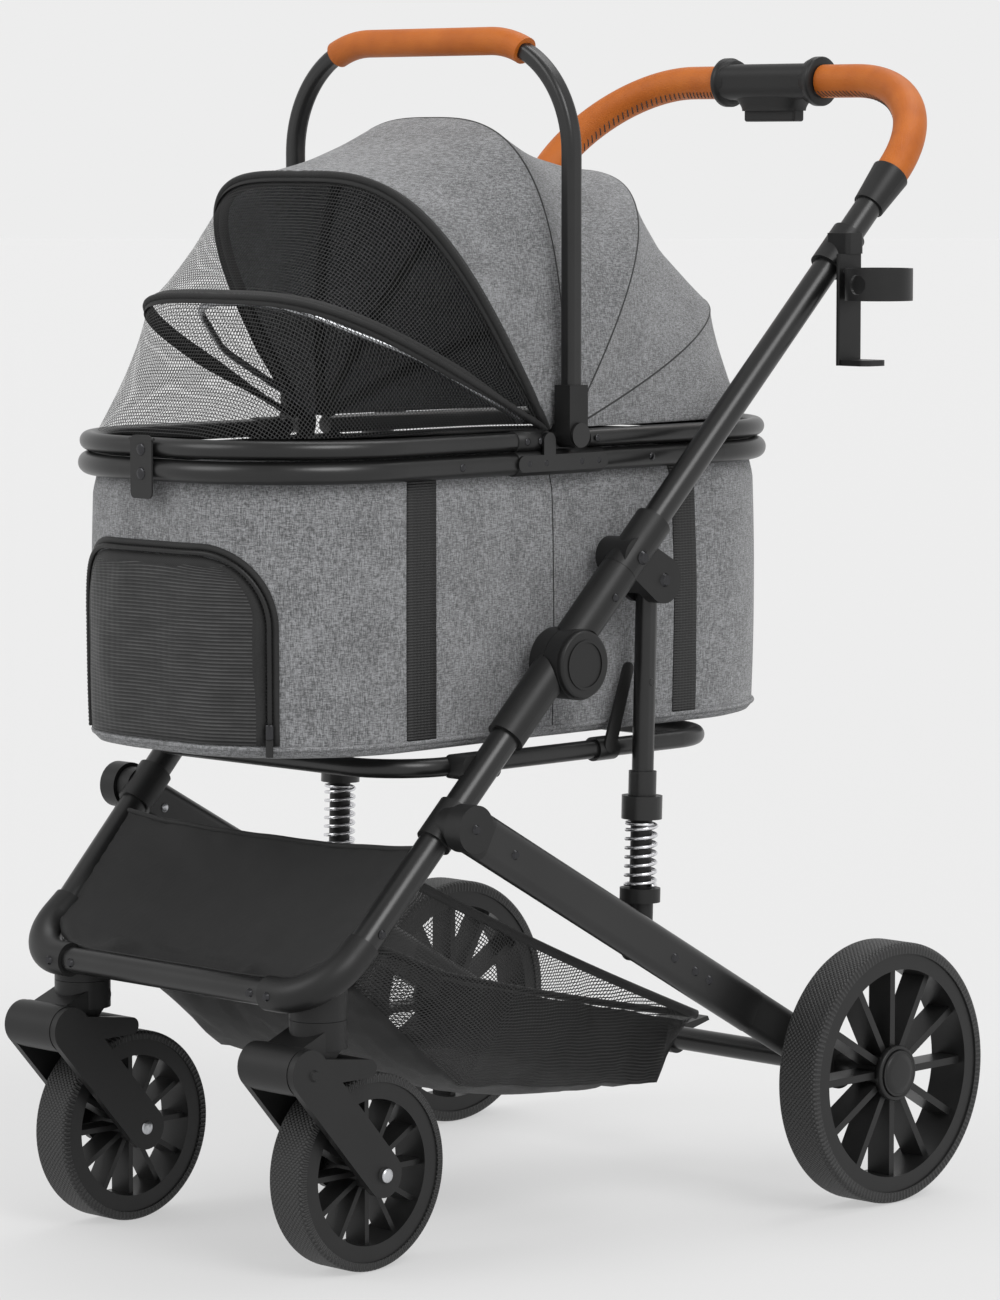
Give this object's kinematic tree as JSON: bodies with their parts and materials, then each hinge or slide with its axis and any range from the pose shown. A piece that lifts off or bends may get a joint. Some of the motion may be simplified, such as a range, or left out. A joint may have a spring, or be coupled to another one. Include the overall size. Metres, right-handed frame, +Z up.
{
  "type": "pet stroller",
  "caption": "Folding pet stroller with a lift-off oval carrier, mesh-fronted hood, carry arch, swivel front wheels, sprung posts, storage basket and cup holder",
  "frame": {"origin": "on the floor under the middle of the overall box", "axes": "+Z up, the front of the stroller faces -Y, its left side is +X"},
  "size_m": [0.587, 0.7997, 1.024],
  "materials": {
    "frame_black": "satin powder coat, slightly hammered",
    "plastic_black": "fine moulded texture",
    "wheel_plastic": "moulded, semi matte",
    "tyre": "foam rubber with a fine diamond tread",
    "steel": "zinc plated",
    "tan_leather": "stitched tan synthetic leather",
    "grey_fabric": "heather grey woven polyester",
    "black_fabric": "black woven polyester",
    "black_mesh": "open black mesh"
  },
  "bodies": {
    "chassis": {"side_tubes": "frame_black", "front_crossbar": "frame_black", "corner_elbows": "plastic_black", "lower_joint_sleeves": "plastic_black", "leg_pivot_brackets": "plastic_black", "carrier_support": "frame_black", "support_brackets": "plastic_black", "support_struts": "frame_black", "foot_panel": "black_fabric", "basket": "black_fabric", "chassis_screws": "steel"},
    "handle": {"handle_bar": "frame_black", "handle_grips": "tan_leather", "handle_collars": "plastic_black", "console": "plastic_black", "upper_joint_sleeves": "plastic_black", "fold_caps": "plastic_black", "lock_brackets": "plastic_black", "handle_rivets": "steel", "cup_clamp": "plastic_black", "cup_holder": "plastic_black"},
    "trigger": {"trigger": "plastic_black"},
    "cup_ring": {"cup_ring": "plastic_black"},
    "rear_frame": {"rear_legs": "frame_black", "leg_end_caps": "plastic_black", "leg_end_sleeves": "plastic_black", "rear_axle": "frame_black", "leg_rivets": "steel"},
    "brake_pedal": {"brake_pedal": "plastic_black"},
    "carrier": {"lower_rim": "frame_black", "upper_rim_rear": "frame_black", "hinge_plates": "frame_black", "bag": "grey_fabric", "canopy_hood": "grey_fabric", "canopy_bows": "steel"},
    "hood_front": {"upper_rim_front": "frame_black", "canopy_mesh": "black_mesh"},
    "mid_bow": {"mid_bow": "steel"},
    "rim_latch": {"rim_latch": "black_fabric"},
    "arch": {"arch": "frame_black", "arch_grip": "tan_leather", "arch_sockets": "plastic_black"},
    "post_left": {"post_tube_left": "frame_black"},
    "post_foot_left": {"post_foot_left": "plastic_black", "post_spring_left": "steel"},
    "caster_left": {"caster_left": "plastic_black"},
    "fork_left": {"fork_left": "plastic_black"},
    "front_wheel_left": {"front_wheel_left": "wheel_plastic", "front_tyre_left": "tyre"},
    "rear_wheel_left": {"rear_wheel_left": "wheel_plastic", "rear_tyre_left": "tyre"},
    "post_right": {"post_tube_right": "frame_black"},
    "post_foot_right": {"post_foot_right": "plastic_black", "post_spring_right": "steel"},
    "caster_right": {"caster_right": "plastic_black"},
    "fork_right": {"fork_right": "plastic_black"},
    "front_wheel_right": {"front_wheel_right": "wheel_plastic", "front_tyre_right": "tyre"},
    "rear_wheel_right": {"rear_wheel_right": "wheel_plastic", "rear_tyre_right": "tyre"}
  },
  "joints": [
    {"name": "handle_fold", "type": "hinge", "parent": "chassis", "child": "handle", "pos_m": [0, -0.094, 0.491], "axis": [-1, 0, 0], "range_deg": [0, 120]},
    {"name": "rear_frame_fold", "type": "hinge", "parent": "chassis", "child": "rear_frame", "pos_m": [0, -0.23314, 0.366], "axis": [-1, 0, 0], "range_deg": [0, 70]},
    {"name": "trigger_squeeze", "type": "slide", "parent": "handle", "child": "trigger", "axis": [0, 0, 1], "range_m": [0, 0.006], "stiffness_N_per_m": 900, "springref_m": -0.004},
    {"name": "cup_ring_fold", "type": "hinge", "parent": "handle", "child": "cup_ring", "pos_m": [0.2344, 0.222, 0.815], "axis": [0, -1, 0], "range_deg": [0, 80]},
    {"name": "brake_press", "type": "hinge", "parent": "rear_frame", "child": "brake_pedal", "pos_m": [0, 0.2205, 0.115], "axis": [-1, 0, 0], "range_deg": [0, 18]},
    {"name": "carrier_lift", "type": "slide", "parent": "chassis", "child": "carrier", "axis": [0, 0, 1], "range_m": [0, 0.2]},
    {"name": "hood_open", "type": "hinge", "parent": "carrier", "child": "hood_front", "pos_m": [0, -0.094, 0.677], "axis": [-1, 0, 0], "range_deg": [0, 60], "deforming": ["canopy_mesh"]},
    {"name": "mid_bow_swing", "type": "hinge", "parent": "carrier", "child": "mid_bow", "pos_m": [0, -0.088, 0.694], "axis": [-1, 0, 0], "range_deg": [0, 24]},
    {"name": "latch_lift", "type": "hinge", "parent": "hood_front", "child": "rim_latch", "pos_m": [0, -0.398, 0.684], "axis": [-1, 0, 0], "range_deg": [0, 40]},
    {"name": "arch_swing", "type": "hinge", "parent": "carrier", "child": "arch", "pos_m": [0, -0.066, 0.681], "axis": [-1, 0, 0], "range_deg": [-50, 50]},
    {"name": "post_pivot_left", "type": "hinge", "parent": "handle", "child": "post_left", "pos_m": [0.187, 0.009, 0.556], "axis": [1, 0, 0], "range_deg": [0, 90]},
    {"name": "post_slide_left", "type": "slide", "parent": "post_left", "child": "post_foot_left", "axis": [0, 0.0285, 0.9996], "range_m": [0, 0.012], "stiffness_N_per_m": 3000, "springref_m": -0.012, "deforming": ["post_spring_left"]},
    {"name": "caster_swivel_left", "type": "hinge", "parent": "chassis", "child": "caster_left", "pos_m": [0.147, -0.34, 0.214], "axis": [0, 0, 1], "continuous": true},
    {"name": "fork_suspension_left", "type": "hinge", "parent": "caster_left", "child": "fork_left", "pos_m": [0.147, -0.38, 0.177], "axis": [1, 0, 0], "range_deg": [0, 6], "stiffness_Nm_per_rad": 8, "springref_deg": -34.38},
    {"name": "front_wheel_spin_left", "type": "hinge", "parent": "fork_left", "child": "front_wheel_left", "pos_m": [0.147, -0.2965, 0.0825], "axis": [1, 0, 0], "continuous": true},
    {"name": "rear_wheel_spin_left", "type": "hinge", "parent": "rear_frame", "child": "rear_wheel_left", "pos_m": [0.273, 0.2205, 0.115], "axis": [1, 0, 0], "continuous": true},
    {"name": "post_pivot_right", "type": "hinge", "parent": "handle", "child": "post_right", "pos_m": [-0.187, 0.009, 0.556], "axis": [1, 0, 0], "range_deg": [0, 90]},
    {"name": "post_slide_right", "type": "slide", "parent": "post_right", "child": "post_foot_right", "axis": [0, 0.0285, 0.9996], "range_m": [0, 0.012], "stiffness_N_per_m": 3000, "springref_m": -0.012, "deforming": ["post_spring_right"]},
    {"name": "caster_swivel_right", "type": "hinge", "parent": "chassis", "child": "caster_right", "pos_m": [-0.147, -0.34, 0.214], "axis": [0, 0, 1], "continuous": true},
    {"name": "fork_suspension_right", "type": "hinge", "parent": "caster_right", "child": "fork_right", "pos_m": [-0.147, -0.38, 0.177], "axis": [1, 0, 0], "range_deg": [0, 6], "stiffness_Nm_per_rad": 8, "springref_deg": -34.38},
    {"name": "front_wheel_spin_right", "type": "hinge", "parent": "fork_right", "child": "front_wheel_right", "pos_m": [-0.147, -0.2965, 0.0825], "axis": [1, 0, 0], "continuous": true},
    {"name": "rear_wheel_spin_right", "type": "hinge", "parent": "rear_frame", "child": "rear_wheel_right", "pos_m": [-0.273, 0.2205, 0.115], "axis": [1, 0, 0], "continuous": true}
  ],
  "couplings": [
    {"joint": "rear_frame_fold", "follows": "handle_fold", "ratio": 0.574},
    {"joint": "mid_bow_swing", "follows": "hood_open", "ratio": 0.4},
    {"joint": "post_pivot_left", "follows": "handle_fold", "ratio": 0.7317},
    {"joint": "post_pivot_right", "follows": "handle_fold", "ratio": 0.7317}
  ]
}
